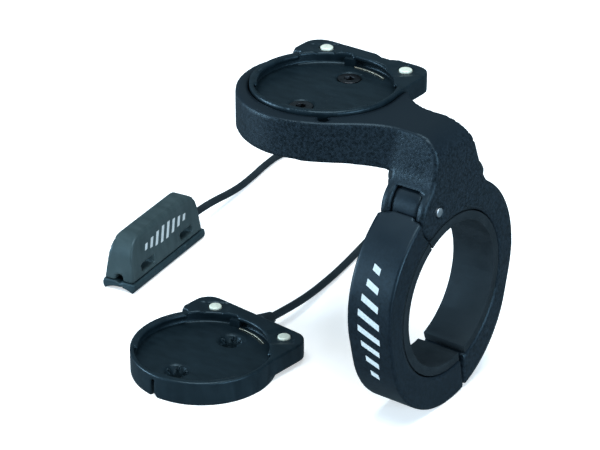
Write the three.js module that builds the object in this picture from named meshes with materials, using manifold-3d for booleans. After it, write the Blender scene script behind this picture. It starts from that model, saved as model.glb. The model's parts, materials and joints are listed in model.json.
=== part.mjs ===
// Mounting kit of a bicycle computer: a hinged clamp with its arm and docking cradle, and the wired
// set that goes with it, a second cradle and a wheel sensor on one cable.
// Millimetres, +Z up. Inside the kit's group the origin is the centre of the handlebar: X runs along
// the handlebar and Y forward. The group is moved at the end, so that the kit's base is at Z = 0.
import * as THREE from 'three';
import Module from 'manifold-3d';
import { mergeVertices } from 'three/addons/utils/BufferGeometryUtils.js';

const wasm = await Module();
wasm.setup();

// ---- driving dimensions ----
const GAP = 0.3;              // between pieces that touch
const ROUND = 72;             // facets round a large circle
const FINE_CURVE = 20;        // a long curve's divisions in an outline
const BAR_RADIUS = 15.9;      // handlebar of 31.8 mm
const LINER_THICKNESS = 1.95;
const SEAT_RADIUS = BAR_RADIUS + LINER_THICKNESS + GAP;
const CLAMP_HALF_WIDTH = 5.2;
const REACH = 60;             // past the kit on any side, for tools that cut right through
const CROWN = { z: 1.8, radius: 23 };   // the ring's outline is the hull of these two circles
const BELLY = { z: -4.1, radius: 21.6 };
const FLOOR = BELLY.z - BELLY.radius;
const SPLIT_ANGLE = -78;      // degrees from +Y, where the two halves meet
const HINGE = { y: -5.8, z: 21.2 };
const HINGE_PIN_RADIUS = 1;
const LUG_RADIUS = 5.9;
const LUG_CLEARANCE = 0.35;
const KNUCKLE_HALF_WIDTH = 3.1;
const KNUCKLE_RADIUS = 3.7;
const FINGER_RADIUS = 5.2;    // the knuckle's outer side, which turns up into the slot
const BOLT_RADIUS = 22;       // distance of the clamp bolt from the bar's centre
const BOLT_SHANK = 1.5;
const ARM_TOP = 37.2;
const ARM_UNDERSIDE = 28.5;
const BEND_RADIUS = 6;
const CUP = { x: -29.3, y: 1.2, radius: 17.9 };
const CRADLE = { x: -29.5, y: 2.9, top: 38 };
const SHELL_RADIUS = 15.9;
const SHELL_HEIGHT = 5.4;
const POCKET_RADIUS = 15.05;
const LIP_RADIUS = 14.25;
const POCKET_FLOOR = 2.9;
const LIP_UNDERSIDE = 4.4;
const EAR_HALF_WIDTH = 15.4;
const EAR_BACK = 17.7;
const EAR_CORNER = 3.8;
const EAR_FRONT = { left: 9.3, right: 3 };
const EAR_UNDERSIDE = 1.3;
const EAR_WALL = 0.8;
const CONTACT = { x: 10.2, y: 14.6, radius: 1.4, travel: 0.3 };
const TRACK = { inner: 14, outer: 19.4, halfAngle: 7, depth: 0.3 };  // round each contact pin
const SCREW_OFFSET = 8.6;
const CABLE_RADIUS = 0.9;
const DOCK = { x: -45, y: -20, turn: -5 };
const SENSOR = { x: -84.1, y: 11, turn: 8, length: 32, width: 8.4, height: 13 };
const COIL = { x: -50.6, y: 78.8, inner: 6.3, outer: 11.7, low: 0.7, high: 8 };

// ---- colours and finishes ----
const PLASTIC = new THREE.MeshStandardMaterial({ color: 0x20262c, roughness: 0.5 });
const SENSOR_PLASTIC = new THREE.MeshStandardMaterial({ color: 0x2c3a40, roughness: 0.45 });
const RUBBER = new THREE.MeshStandardMaterial({ color: 0x16181b, roughness: 0.8 });
const CABLE_PLASTIC = new THREE.MeshStandardMaterial({ color: 0x181b1e, roughness: 0.55 });
const STEEL = new THREE.MeshStandardMaterial({ color: 0xd8dadc, roughness: 0.3, metalness: 1 });
const BLACK_STEEL = new THREE.MeshStandardMaterial({ color: 0x2a2c30, roughness: 0.4, metalness: 1 });
const BRASS = new THREE.MeshStandardMaterial({ color: 0xc9a24a, roughness: 0.35, metalness: 1 });
const CONTACT_METAL = new THREE.MeshStandardMaterial({ color: 0xe6e8da, roughness: 0.4, metalness: 0.6 });
const BOARD = new THREE.MeshStandardMaterial({ color: 0x1f5a3a, roughness: 0.6 });
const GLASS = new THREE.MeshStandardMaterial({ color: 0x9fc4b0, roughness: 0.1 });

const degrees = THREE.MathUtils.degToRad;

// ---- solids ----
function signedVolume(positions, triangles) {
  const [a, b, c] = [new THREE.Vector3(), new THREE.Vector3(), new THREE.Vector3()];
  let volume = 0;
  for (let i = 0; i < triangles.length; i += 3) {
    a.fromArray(positions, 3 * triangles[i]);
    b.fromArray(positions, 3 * triangles[i + 1]);
    c.fromArray(positions, 3 * triangles[i + 2]);
    volume += a.dot(b.cross(c));
  }
  return volume;
}

// A closed three.js geometry as a manifold-3d solid, with its faces turned outwards.
function solid(geometry) {
  const bare = geometry.clone();
  bare.deleteAttribute('normal');
  bare.deleteAttribute('uv');
  const merged = mergeVertices(bare, 1e-4);
  const positions = merged.attributes.position.array;
  const index = merged.index.array;
  const triangles = [];
  for (let i = 0; i < index.length; i += 3) {
    const [a, b, c] = [index[i], index[i + 1], index[i + 2]];
    if (a !== b && b !== c && c !== a) triangles.push(a, b, c);
  }
  if (signedVolume(positions, triangles) < 0) triangles.reverse();
  return new wasm.Manifold(new wasm.Mesh({
    numProp: 3,
    vertProperties: Float32Array.from(positions),
    triVerts: Uint32Array.from(triangles),
  }));
}

function geometryOf(body) {
  const mesh = body.getMesh();
  const geometry = new THREE.BufferGeometry();
  geometry.setAttribute('position', new THREE.BufferAttribute(mesh.vertProperties, 3));
  geometry.setIndex(new THREE.BufferAttribute(mesh.triVerts, 1));
  geometry.computeVertexNormals();
  return geometry;
}

const join = (first, ...others) => others.reduce((body, other) => body.add(other), first);
const cut = (first, ...others) => others.reduce((body, other) => body.subtract(other), first);
const common = (first, ...others) => others.reduce((body, other) => body.intersect(other), first);

// An outline extruded from low to high along an axis. Its two coordinates are (X, Y) for an
// extrusion along z, (Y, Z) along x and (X, Z) along y.
function prismGeometry(outline, low, high, axis = 'z', curveSegments = 12) {
  const settings = { depth: high - low, bevelEnabled: false, curveSegments };
  const geometry = new THREE.ExtrudeGeometry(outline, settings);
  const [x, y, z] = [new THREE.Vector3(1, 0, 0), new THREE.Vector3(0, 1, 0), new THREE.Vector3(0, 0, 1)];
  const turn = new THREE.Matrix4();
  if (axis === 'x') turn.makeBasis(y, z, x);
  if (axis === 'y') turn.makeBasis(x, z, y.clone().negate());
  geometry.applyMatrix4(turn);
  const shift = axis === 'y' ? high : low;
  geometry.translate(axis === 'x' ? shift : 0, axis === 'y' ? shift : 0, axis === 'z' ? shift : 0);
  return geometry;
}

const prism = (...settings) => solid(prismGeometry(...settings));

const outlineOf = (points) => new THREE.Shape(points.map(([x, y]) => new THREE.Vector2(x, y)));

function box(x, y, z) {
  const geometry = new THREE.BoxGeometry(x[1] - x[0], y[1] - y[0], z[1] - z[0]);
  geometry.translate((x[0] + x[1]) / 2, (y[0] + y[1]) / 2, (z[0] + z[1]) / 2);
  return solid(geometry);
}

// A profile of [radius, height] points turned about the Z axis, then laid along another axis.
function turnedGeometry(profile, { axis = 'z', at = [0, 0, 0], segments = 32 } = {}) {
  const points = profile.map(([radius, height]) => new THREE.Vector2(radius, height));
  const geometry = new THREE.LatheGeometry(points, segments);
  if (axis === 'z') geometry.rotateX(Math.PI / 2);
  if (axis === 'x') geometry.rotateZ(-Math.PI / 2);
  geometry.translate(...at);
  return geometry;
}

const turned = (...settings) => solid(turnedGeometry(...settings));

const rod = (radius, low, high, placing) =>
  turned([[0, low], [radius, low], [radius, high], [0, high]], placing);

const tube = (inner, outer, low, high, placing) =>
  turned([[inner, low], [outer, low], [outer, high], [inner, high], [inner, low]], placing);

// The part of a flat ring between two angles, which is a sector of a disc with a round hole.
function ringSector(inner, outer, from, to) {
  const outline = new THREE.Shape();
  outline.absarc(0, 0, outer, degrees(from), degrees(to), false);
  outline.absarc(0, 0, inner, degrees(to), degrees(from), true);
  outline.closePath();
  return outline;
}

const kit = new THREE.Group();

function addPiece(group, name, body, material) {
  const mesh = new THREE.Mesh(geometryOf(body), material);
  mesh.name = name;
  group.add(mesh);
  return mesh;
}

// ---- the clamp ring ----
function ringOutline() {
  const slope = Math.asin((CROWN.radius - BELLY.radius) / (CROWN.z - BELLY.z));
  const outline = new THREE.Shape();
  outline.absarc(0, CROWN.z, CROWN.radius, -slope, Math.PI + slope, false);
  outline.absarc(0, BELLY.z, BELLY.radius, Math.PI + slope, 2 * Math.PI - slope, false);
  outline.closePath();
  return outline;
}

const ringBlank = () => prism(ringOutline(), -CLAMP_HALF_WIDTH, CLAMP_HALF_WIDTH, 'x', 24);

const acrossClamp = (radius, halfWidth, y = 0, z = 0, segments = ROUND) =>
  rod(radius, -halfWidth, halfWidth, { axis: 'x', at: [0, y, z], segments });

// Everything on the arm's side of the split and the hinge. The gap at the split narrows outwards.
function armSide() {
  const split = [[0, 0], [4.2, -12], [5.3, -16.7], [5.5, -20.2], [5.9, -25], [7.6, -32]];
  const outline = outlineOf([...split, [REACH, -32], [REACH, REACH], [HINGE.y, REACH], [HINGE.y, HINGE.z]]);
  return prism(outline, -REACH, REACH, 'x');
}

function jawSide() {
  const split = degrees(SPLIT_ANGLE);
  const length = 32;
  const shift = 0.2;
  const edge = [length * Math.cos(split) + shift, length * Math.sin(split)];
  const outline = outlineOf([[shift, 0], edge, [-REACH, edge[1]], [-REACH, REACH],
    [HINGE.y, REACH], [HINGE.y, HINGE.z]]);
  return prism(outline, -REACH, REACH, 'x');
}

// The neck rises from the ring to the plate: its left and right edges as seen along the bar.
function neckOutline() {
  const outline = new THREE.Shape();
  outline.moveTo(-6.1, ARM_TOP + 1);
  outline.lineTo(-6.1, ARM_TOP);
  outline.bezierCurveTo(-6.8, 34, -7.2, 31, -7.6, 29);
  outline.bezierCurveTo(-8.2, 26.6, -9.8, 25.6, -11, 23.9);
  outline.lineTo(-5, 15);
  outline.lineTo(12, 14);
  outline.lineTo(17, 16.9);
  outline.bezierCurveTo(13.4, 19.2, 11.6, 21.2, 10, 24.4);
  outline.bezierCurveTo(8.6, 27.4, 7.2, 31, 4.9, ARM_TOP);
  outline.lineTo(4.9, ARM_TOP + 1);
  outline.closePath();
  return outline;
}

// The plate in plan: the cup's disc, and a waist that flares into it on both sides.
function plateOutline() {
  const [left, right] = [degrees(-69), degrees(38)];
  const start = [CUP.x + CUP.radius * Math.cos(left), CUP.y + CUP.radius * Math.sin(left)];
  const end = [CUP.x + CUP.radius * Math.cos(right), CUP.y + CUP.radius * Math.sin(right)];
  const outline = new THREE.Shape();
  outline.moveTo(...start);
  outline.bezierCurveTo(-15.5, -13, -11.5, -6.2, -4, -6.1);
  outline.lineTo(CLAMP_HALF_WIDTH, -6.1);
  outline.lineTo(CLAMP_HALF_WIDTH, 4.9);
  outline.lineTo(-3, 4.9);
  outline.bezierCurveTo(-8.5, 4.9, -12, 7.4, ...end);
  outline.lineTo(CUP.x, CUP.y);
  outline.closePath();
  return outline;
}

// The plate's sides spread downwards near the bend, to meet the wider neck below it.
function plate() {
  const geometry = prismGeometry(plateOutline(), ARM_UNDERSIDE - 1, ARM_TOP, 'z', FINE_CURVE);
  const { position } = geometry.attributes;
  const middle = -0.6;
  const [spreadForward, spreadBack] = [2.9, 1.5];
  for (let i = 0; i < position.count; i++) {
    if (position.getZ(i) > ARM_UNDERSIDE) continue;
    const nearness = THREE.MathUtils.smoothstep(position.getX(i), -18, -CLAMP_HALF_WIDTH);
    const y = position.getY(i);
    position.setY(i, y + nearness * (y > middle ? spreadForward : -spreadBack));
  }
  return solid(geometry);
}

// The arm seen from behind: a plate that bends down into the neck.
function bendOutline() {
  const [inner, outer] = [-CLAMP_HALF_WIDTH, CLAMP_HALF_WIDTH];
  const fillet = 1.6;
  const thickenedUnderside = ARM_UNDERSIDE - 0.4;
  const outline = new THREE.Shape();
  outline.moveTo(-REACH, ARM_TOP);
  outline.lineTo(-REACH, ARM_UNDERSIDE);
  outline.lineTo(-20, ARM_UNDERSIDE);
  outline.lineTo(inner - fillet, thickenedUnderside);
  outline.quadraticCurveTo(inner, thickenedUnderside, inner, thickenedUnderside - fillet);
  outline.lineTo(inner, 0);
  outline.lineTo(outer, 0);
  outline.lineTo(outer, ARM_TOP - BEND_RADIUS);
  outline.absarc(outer - BEND_RADIUS, ARM_TOP - BEND_RADIUS, BEND_RADIUS, 0, Math.PI / 2, false);
  outline.closePath();
  return outline;
}

function cup() {
  const [rim, foot] = [0.3, 0.4];
  const { radius } = CUP;
  const profile = [[0, ARM_UNDERSIDE], [radius - foot, ARM_UNDERSIDE],
    [radius - 0.3 * foot, ARM_UNDERSIDE + 0.3 * foot], [radius, ARM_UNDERSIDE + foot],
    [radius, ARM_TOP - rim], [radius - 0.8 * rim, ARM_TOP], [0, ARM_TOP]];
  return turned(profile, { at: [CUP.x, CUP.y, 0], segments: ROUND });
}

// The room for the cradle: a round recess, and the edge cut away under the cradle's two ears.
function cradleRoom() {
  const bottom = CRADLE.top - SHELL_HEIGHT - GAP;
  const recess = rod(SHELL_RADIUS + GAP, bottom, REACH, { at: [CRADLE.x, CRADLE.y, 0], segments: ROUND });
  const earsBottom = CRADLE.top - SHELL_HEIGHT + EAR_UNDERSIDE - GAP;
  const ears = prism(earOutline(GAP), earsBottom, REACH).translate(CRADLE.x, CRADLE.y, 0);
  return join(recess, ears);
}

// The slot for the jaw's knuckle, open behind, and the clearance for the jaw's shoulders below.
function knuckleSlot() {
  const halfWidth = KNUCKLE_HALF_WIDTH + GAP;
  const round = acrossClamp(LUG_RADIUS, halfWidth, HINGE.y, HINGE.z, 48);
  const open = box([-halfWidth, halfWidth], [HINGE.y - 12, HINGE.y - 1], [8, HINGE.z + 5]);
  return join(round, open);
}

const boltFrame = new THREE.Matrix4()
  .makeRotationX(degrees(SPLIT_ANGLE))
  .multiply(new THREE.Matrix4().makeTranslation(0, BOLT_RADIUS, 0));

// Bolt pieces are turned about Z and laid so that their Z runs along the ring, head end forward.
const alongBolt = (geometry) => geometry.applyMatrix4(boltFrame);

const boltRod = (radius, low, high, segments = 28) =>
  solid(alongBolt(turnedGeometry([[0, low], [radius, low], [radius, high], [0, high]], { segments })));

const HEAD = { seat: 5.6, height: 3, radius: 2.75 };
const WASHER = { inner: 1.8, outer: 2.9, thickness: 0.6 };
const INSERT = { inner: 2, outer: 2.7, start: 1.6, end: 6.4 };

function boltHoles() {
  const counterbore = boltRod(WASHER.outer + GAP, HEAD.seat - WASHER.thickness - GAP, 20);
  return join(counterbore, boltRod(BOLT_SHANK + GAP, -8, 12));
}

const above = (z) => box([-REACH, REACH], [-REACH, REACH], [z, REACH]);
const below = (z) => box([-REACH, REACH], [-REACH, REACH], [-REACH, z]);

// The ring's forward half with its lugs, and the neck that rises from it.
function ringAndNeck() {
  const neck = prism(neckOutline(), -CLAMP_HALF_WIDTH, CLAMP_HALF_WIDTH, 'x', FINE_CURVE);
  const neckRoom = box([-REACH, REACH], [-14, 20], [HINGE.z + 1, REACH]);
  return common(join(ringBlank(), neck), join(armSide(), neckRoom));
}

const CRADLE_PILOT_DEPTH = 3;   // of the screws' holes below the cradle's recess
const RIM_HOLE = { x: -19.7, y: -11.4, radius: 1.35, depth: 3 };

function armHoles() {
  const pinHole = acrossClamp(HINGE_PIN_RADIUS + GAP, REACH, HINGE.y, HINGE.z, 20);
  const pilotEnd = CRADLE.top - SHELL_HEIGHT - CRADLE_PILOT_DEPTH;
  const pilots = [-1, 1].map((side) => rod(SCREW.shank + GAP, pilotEnd, REACH,
    { at: [CRADLE.x, CRADLE.y + side * SCREW_OFFSET, 0], segments: 20 }));
  const { x, y, radius, depth } = RIM_HOLE;
  const rimHole = rod(radius, ARM_TOP - depth, REACH, { at: [x, y, 0], segments: 20 });
  return join(pinHole, boltHoles(), ...pilots, rimHole);
}

function mountArm() {
  const side = ringAndNeck();
  const lugs = acrossClamp(LUG_RADIUS, CLAMP_HALF_WIDTH, HINGE.y, HINGE.z, 48);
  const bent = common(join(side, plate()), prism(bendOutline(), -REACH, REACH, 'y', 14));
  const lowerRing = common(side, below(1));
  const body = join(bent, lowerRing, common(lugs, above(0)), cup());
  return cut(body, acrossClamp(SEAT_RADIUS, REACH), knuckleSlot(), cradleRoom(), armHoles());
}

function clampJaw() {
  const shoulders = [-1, 1].map((side) => {
    const radius = LUG_RADIUS + LUG_CLEARANCE;
    const inner = KNUCKLE_HALF_WIDTH;
    const at = [side * (inner + 5), HINGE.y, HINGE.z];
    return rod(radius, -5, 5, { axis: 'x', at, segments: 48 });
  });
  const between = acrossClamp(LUG_RADIUS - GAP, KNUCKLE_HALF_WIDTH + 0.01, HINGE.y, HINGE.z, 48);
  const ring = cut(common(ringBlank(), jawSide()), ...shoulders, between);
  const knuckle = acrossClamp(KNUCKLE_RADIUS, KNUCKLE_HALF_WIDTH, HINGE.y, HINGE.z, 40);
  const fingerFront = HINGE.y - 1.2;
  const finger = common(
    acrossClamp(FINGER_RADIUS, KNUCKLE_HALF_WIDTH, HINGE.y, HINGE.z, 48),
    box([-REACH, REACH], [-REACH, fingerFront], [0, REACH]),
  );
  const bridge = box([-KNUCKLE_HALF_WIDTH, KNUCKLE_HALF_WIDTH], [-11.4, fingerFront], [15, HINGE.z - 1]);
  const hinge = join(knuckle, finger, common(bridge, ringBlank()));
  const bore = acrossClamp(SEAT_RADIUS, REACH);
  const pinHole = acrossClamp(HINGE_PIN_RADIUS + GAP, REACH, HINGE.y, HINGE.z, 20);
  const insertRoom = boltRod(INSERT.outer + GAP, -INSERT.end - GAP, 4);
  return cut(join(ring, hinge), bore, pinHole, insertRoom, boltRod(INSERT.inner, -9, 4));
}

function clampInsert() {
  const { inner, outer, start, end } = INSERT;
  const profile = [[inner, -end], [outer, -end], [outer, -start], [inner, -start], [inner, -end]];
  return solid(alongBolt(turnedGeometry(profile, { segments: 24 })));
}

const liner = (from, to) =>
  prism(ringSector(BAR_RADIUS, BAR_RADIUS + LINER_THICKNESS, from, to),
    -CLAMP_HALF_WIDTH + 0.1, CLAMP_HALF_WIDTH - 0.1, 'x', FINE_CURVE);

function polygon(radius, sides) {
  const points = [];
  for (let k = 0; k < sides; k++) {
    const angle = 2 * Math.PI * k / sides;
    points.push([radius * Math.cos(angle), radius * Math.sin(angle)]);
  }
  return outlineOf(points);
}

const hexagon = (acrossFlats) => polygon(acrossFlats / Math.sqrt(3), 6);

function clampBolt() {
  const { seat, height, radius } = HEAD;
  const end = -INSERT.end + 0.4;
  const profile = [[0, end], [BOLT_SHANK - 0.4, end], [BOLT_SHANK, end + 0.4], [BOLT_SHANK, seat],
    [radius, seat], [radius, seat + height - 0.4], [radius - 0.4, seat + height], [0, seat + height]];
  const blank = solid(alongBolt(turnedGeometry(profile, { segments: 24 })));
  const socket = solid(alongBolt(prismGeometry(hexagon(2.5), seat + height - 1.6, 20)));
  return cut(blank, socket);
}

function clampWasher() {
  const { inner, outer, thickness } = WASHER;
  const [low, high] = [HEAD.seat - thickness, HEAD.seat - 0.05];
  const profile = [[inner, low], [outer, low], [outer, high], [inner, high], [inner, low]];
  return solid(alongBolt(turnedGeometry(profile, { segments: 24 })));
}

function addMount() {
  addPiece(kit, 'mount_arm', mountArm(), PLASTIC);
  addPiece(kit, 'clamp_jaw', clampJaw(), PLASTIC);
  addPiece(kit, 'liner_front', liner(-71, 119.4), RUBBER);
  addPiece(kit, 'liner_rear', liner(120.5, 360 + SPLIT_ANGLE - 0.5), RUBBER);
  addPiece(kit, 'hinge_pin', rod(HINGE_PIN_RADIUS, -5.3, 5.3,
    { axis: 'x', at: [0, HINGE.y, HINGE.z], segments: 24 }), STEEL);
  addPiece(kit, 'clamp_insert', clampInsert(), BRASS);
  addPiece(kit, 'clamp_washer', clampWasher(), STEEL);
  addPiece(kit, 'clamp_bolt', clampBolt(), BLACK_STEEL);
}

// ---- a docking cradle, in its own frame: origin under its centre, its ears towards +Y ----
function earOutline(spread = 0) {
  const [side, back] = [EAR_HALF_WIDTH + spread, EAR_BACK + spread];
  const corner = EAR_CORNER + spread;
  const { left, right } = EAR_FRONT;
  const outline = new THREE.Shape();
  outline.moveTo(-side, left - spread);
  outline.lineTo(0, left - spread);
  outline.lineTo(0, right - spread);
  outline.lineTo(side, right - spread);
  outline.lineTo(side, back - corner);
  outline.absarc(side - corner, back - corner, corner, 0, Math.PI / 2, false);
  outline.lineTo(-side + corner, back);
  outline.absarc(-side + corner, back - corner, corner, Math.PI / 2, Math.PI, false);
  outline.closePath();
  return outline;
}

// The hollow under the ears, behind the round skirt.
const earHollow = (inset, low, high) =>
  cut(prism(earOutline(-inset), low, high, 'z', 3), rod(SHELL_RADIUS, 0, 10, { segments: ROUND }));

const ENTRY_CENTRES = [5, 125, 245];  // the three gaps between the bayonet lips, degrees
const ENTRY_HALF = 23;

function pocket() {
  const groove = rod(POCKET_RADIUS, POCKET_FLOOR, LIP_UNDERSIDE, { segments: ROUND });
  const mouth = rod(LIP_RADIUS, POCKET_FLOOR, 10, { segments: ROUND });
  const entries = ENTRY_CENTRES.map((angle) =>
    prism(ringSector(10, POCKET_RADIUS, angle - ENTRY_HALF, angle + ENTRY_HALF), POCKET_FLOOR, 10, 'z', 4));
  return join(groove, mouth, ...entries);
}

const SCREW = { head: 2.5, shank: 1.15, slope: 1.35 };

// A countersunk hole through the floor, with a ring of small ribs where no screw fills it.
function screwHole(y, ribs) {
  const wide = SCREW.head + GAP;
  const narrow = SCREW.shank + GAP;
  const profile = [[0, -1], [narrow, -1], [narrow, POCKET_FLOOR - 0.2 - SCREW.slope - GAP],
    [wide, POCKET_FLOOR - 0.2], [wide, POCKET_FLOOR + 1], [0, POCKET_FLOOR + 1]];
  const cone = turned(profile, { at: [0, y, 0], segments: 24 });
  if (!ribs) return cone;
  const fins = [];
  for (let k = 0; k < 6; k++) {
    const fin = box([narrow + 0.25, wide + 0.2], [-0.2, 0.2], [POCKET_FLOOR - 1.7, POCKET_FLOOR - 0.35]);
    fins.push(fin.rotate([0, 0, 60 * k]).translate(0, y, 0));
  }
  return cut(cone, ...fins);
}

// The head's contacts slide round these shallow tracks and over the pins.
function contactTrack(side) {
  const { inner, outer, halfAngle, depth } = TRACK;
  const middle = THREE.MathUtils.radToDeg(Math.atan2(CONTACT.y, side * CONTACT.x));
  const sector = ringSector(inner, outer, middle - halfAngle, middle + halfAngle);
  return prism(sector, SHELL_HEIGHT - depth, 8, 'z', 4);
}

function contactHole(side) {
  const { radius } = CONTACT;
  const profile = [[0, EAR_UNDERSIDE], [2.3, EAR_UNDERSIDE], [2.3, 4.5], [radius + 0.2, 4.5],
    [radius + 0.2, 8], [0, 8]];
  return turned(profile, { at: [side * CONTACT.x, CONTACT.y, 0], segments: 20 });
}

function shell(wired) {
  const disc = rod(SHELL_RADIUS, 0, SHELL_HEIGHT, { segments: ROUND });
  const ears = prism(earOutline(), EAR_UNDERSIDE, SHELL_HEIGHT, 'z', 6);
  const bosses = [-1, 1].map((side) =>
    rod(3.7, 0, 2, { at: [0, side * SCREW_OFFSET, 0], segments: 24 }));
  const underside = cut(rod(14, -1, 1.6, { segments: 40 }), ...bosses);
  const latchSlit = prism(ringSector(13.6, 14.15, 62, 100), 0, 4, 'z', 8);
  const holes = [-1, 1].map((side) => screwHole(side * SCREW_OFFSET, wired));
  const skirtSlot = box([-0.45, 0.45], [-18, -13.2], [-1, 4.1]);
  const cableHole = rod(1.2 + GAP, 16.3, 19, { axis: 'y', at: [0, 0, 3.1], segments: 20 });
  const blankNotch = box([1.5, 5.5], [EAR_BACK - 0.8, 19], [SHELL_HEIGHT - 0.7, 6]);
  return cut(join(disc, ears), pocket(), underside, latchSlit, earHollow(EAR_WALL, 1, 3),
    contactHole(-1), contactHole(1), contactTrack(-1), contactTrack(1), ...holes, skirtSlot,
    wired ? cableHole : blankNotch);
}

function contactPin() {
  const { radius, travel } = CONTACT;
  const collar = 4.5 - 0.15;
  const top = SHELL_HEIGHT - TRACK.depth + travel;
  const profile = [[0, 3.05], [0.8, 3.05], [0.8, 3.9], [2, 3.9], [2, collar], [radius, collar],
    [radius, top - 0.15], [radius - 0.25, top], [0, top]];
  return turned(profile, { segments: 18 });
}

class Helix extends THREE.Curve {
  constructor(radius, low, high, turns) {
    super();
    Object.assign(this, { radius, low, high, turns });
  }

  getPoint(t, target = new THREE.Vector3()) {
    const angle = 2 * Math.PI * this.turns * t;
    const height = this.low + (this.high - this.low) * t;
    return target.set(this.radius * Math.cos(angle), this.radius * Math.sin(angle), height);
  }
}

function contactSpring() {
  const path = new Helix(1.35, 2.6, 3.7, 3);
  const settings = { steps: 27, bevelEnabled: false, extrudePath: path };
  return solid(new THREE.ExtrudeGeometry(polygon(0.15, 4), settings));
}

// The brass strip under each contact pin, which leads to the cable.
function contactStrip(side) {
  const skirt = rod(SHELL_RADIUS + GAP, 0, 5, { segments: ROUND });
  const blank = cut(prism(earOutline(-EAR_WALL - GAP), 2, 2.3, 'z', 3), skirt);
  const half = side > 0 ? [0.5, REACH] : [-REACH, -0.5];
  return common(blank, box(half, [11, REACH], [0, 5]));
}

function contactCover() {
  const skirt = rod(SHELL_RADIUS + GAP, 0, 5, { segments: ROUND });
  const blank = cut(prism(earOutline(-EAR_WALL - GAP), EAR_UNDERSIDE, 1.7, 'z', 3), skirt);
  return common(blank, box([-REACH, REACH], [9, REACH], [0, 5]));
}

function addCradle(group, prefix, wired) {
  addPiece(group, `${prefix}_shell`, shell(wired), PLASTIC);
  addPiece(group, `${prefix}_contact_cover`, contactCover(), PLASTIC);
  for (const [side, word] of [[-1, 'left'], [1, 'right']]) {
    addPiece(group, `${prefix}_contact_strip_${word}`, contactStrip(side), BRASS);
    const place = [side * CONTACT.x, CONTACT.y, 0];
    addPiece(group, `${prefix}_contact_spring_${word}`, contactSpring(), STEEL).position.set(...place);
    addPiece(group, `${prefix}_contact_pin_${word}`, contactPin(), CONTACT_METAL).position.set(...place);
  }
}

// ---- the cradle on the arm, and the two screws that hold it ----
function cradleScrew() {
  const { head, shank, slope } = SCREW;
  const top = POCKET_FLOOR - 0.1;
  const profile = [[0, -2.4], [shank - 0.4, -2.4], [shank, -2], [shank, top - slope], [head, top - 0.15],
    [head, top], [0, top]];
  return cut(turned(profile, { segments: 24 }), prism(hexagon(2), top - 1, 5));
}

function addArmCradle() {
  const group = new THREE.Group();
  group.position.set(CRADLE.x, CRADLE.y, CRADLE.top - SHELL_HEIGHT);
  kit.add(group);
  addCradle(group, 'cradle', false);
  for (const [side, word] of [[-1, 'front'], [1, 'back']]) {
    const screw = addPiece(group, `cradle_screw_${word}`, cradleScrew(), BLACK_STEEL);
    screw.position.set(0, side * SCREW_OFFSET, 0);
  }
}

// ---- the wired cradle ----
const GLAND = { height: 3.1, start: 16.9, end: 22 };

function dockGland() {
  const { start, end, height } = GLAND;
  const face = EAR_BACK + GAP;
  const profile = [[0, start], [1.2, start], [1.2, face], [1.9, face], [2.1, EAR_BACK + 0.8],
    [1.9, EAR_BACK + 1.6], [1.3, end], [0, end]];
  return turned(profile, { axis: 'y', at: [0, 0, height], segments: 20 });
}

function addWiredCradle() {
  const group = new THREE.Group();
  group.position.set(DOCK.x, DOCK.y, FLOOR);
  group.rotation.z = degrees(DOCK.turn);
  kit.add(group);
  addCradle(group, 'dock', true);
  addPiece(group, 'dock_gland', dockGland(), RUBBER);
}

// ---- the wheel sensor, in its own frame: length along Y, base at Z = 0 ----
const FLANGE_HEIGHT = 2.6;
const SENSOR_EXIT = 4.4;        // height of the cable's exit
const SWITCH_HEIGHT = 9.8;
const TIE_SLOTS = [-8.6, 8.6];

function sensorSide() {
  const [near, far] = [-SENSOR.length / 2 + 0.3, SENSOR.length / 2 - 0.9];
  const top = SENSOR.height;
  const outline = new THREE.Shape();
  outline.moveTo(near, FLANGE_HEIGHT);
  outline.lineTo(far, FLANGE_HEIGHT);
  outline.lineTo(far - 0.4, 7.6);
  outline.bezierCurveTo(far - 0.8, 10.6, far - 2, top - 0.2, far - 5, top);
  outline.lineTo(near + 6, top - 0.3);
  outline.bezierCurveTo(near + 2.6, top - 0.7, near + 1, top - 3, near + 0.7, 8);
  outline.closePath();
  return outline;
}

function sensorSection() {
  const [low, high] = [3.75, 2.5];     // half widths at the flange and near the top
  const top = SENSOR.height;
  return outlineOf([[-low, FLANGE_HEIGHT], [low, FLANGE_HEIGHT], [high + 0.1, top - 0.9], [high - 0.7, top],
    [-high + 0.7, top], [-high - 0.1, top - 0.9]]);
}

// A blind hole in the near end, half in the housing and half in the base.
const sensorEndHole = () =>
  rod(1.1, -20, -SENSOR.length / 2 + 2.4, { axis: 'y', at: [0, 0, 3], segments: 20 });

function sensorHousing() {
  const half = SENSOR.length / 2;
  const blank = common(prism(sensorSide(), -6, 6, 'x', 8), prism(sensorSection(), -half, half, 'y'));
  const slots = TIE_SLOTS.map((y) => box([-6, 6], [y - 2.7, y + 2.7], [3.5, 5.5]));
  const bay = join(box([-1.7, 1.7], [-11.5, 13], [6.6, 11.2]), box([-1.7, 1.7], [-5, 5], [0, 8]),
    box([-1, 1], [12, 13], [SENSOR_EXIT, 8]));
  const cableHole = rod(1.2 + GAP, 12, 20, { axis: 'y', at: [0, 0, SENSOR_EXIT], segments: 20 });
  return cut(blank, ...slots, bay, cableHole, sensorEndHole());
}

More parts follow.
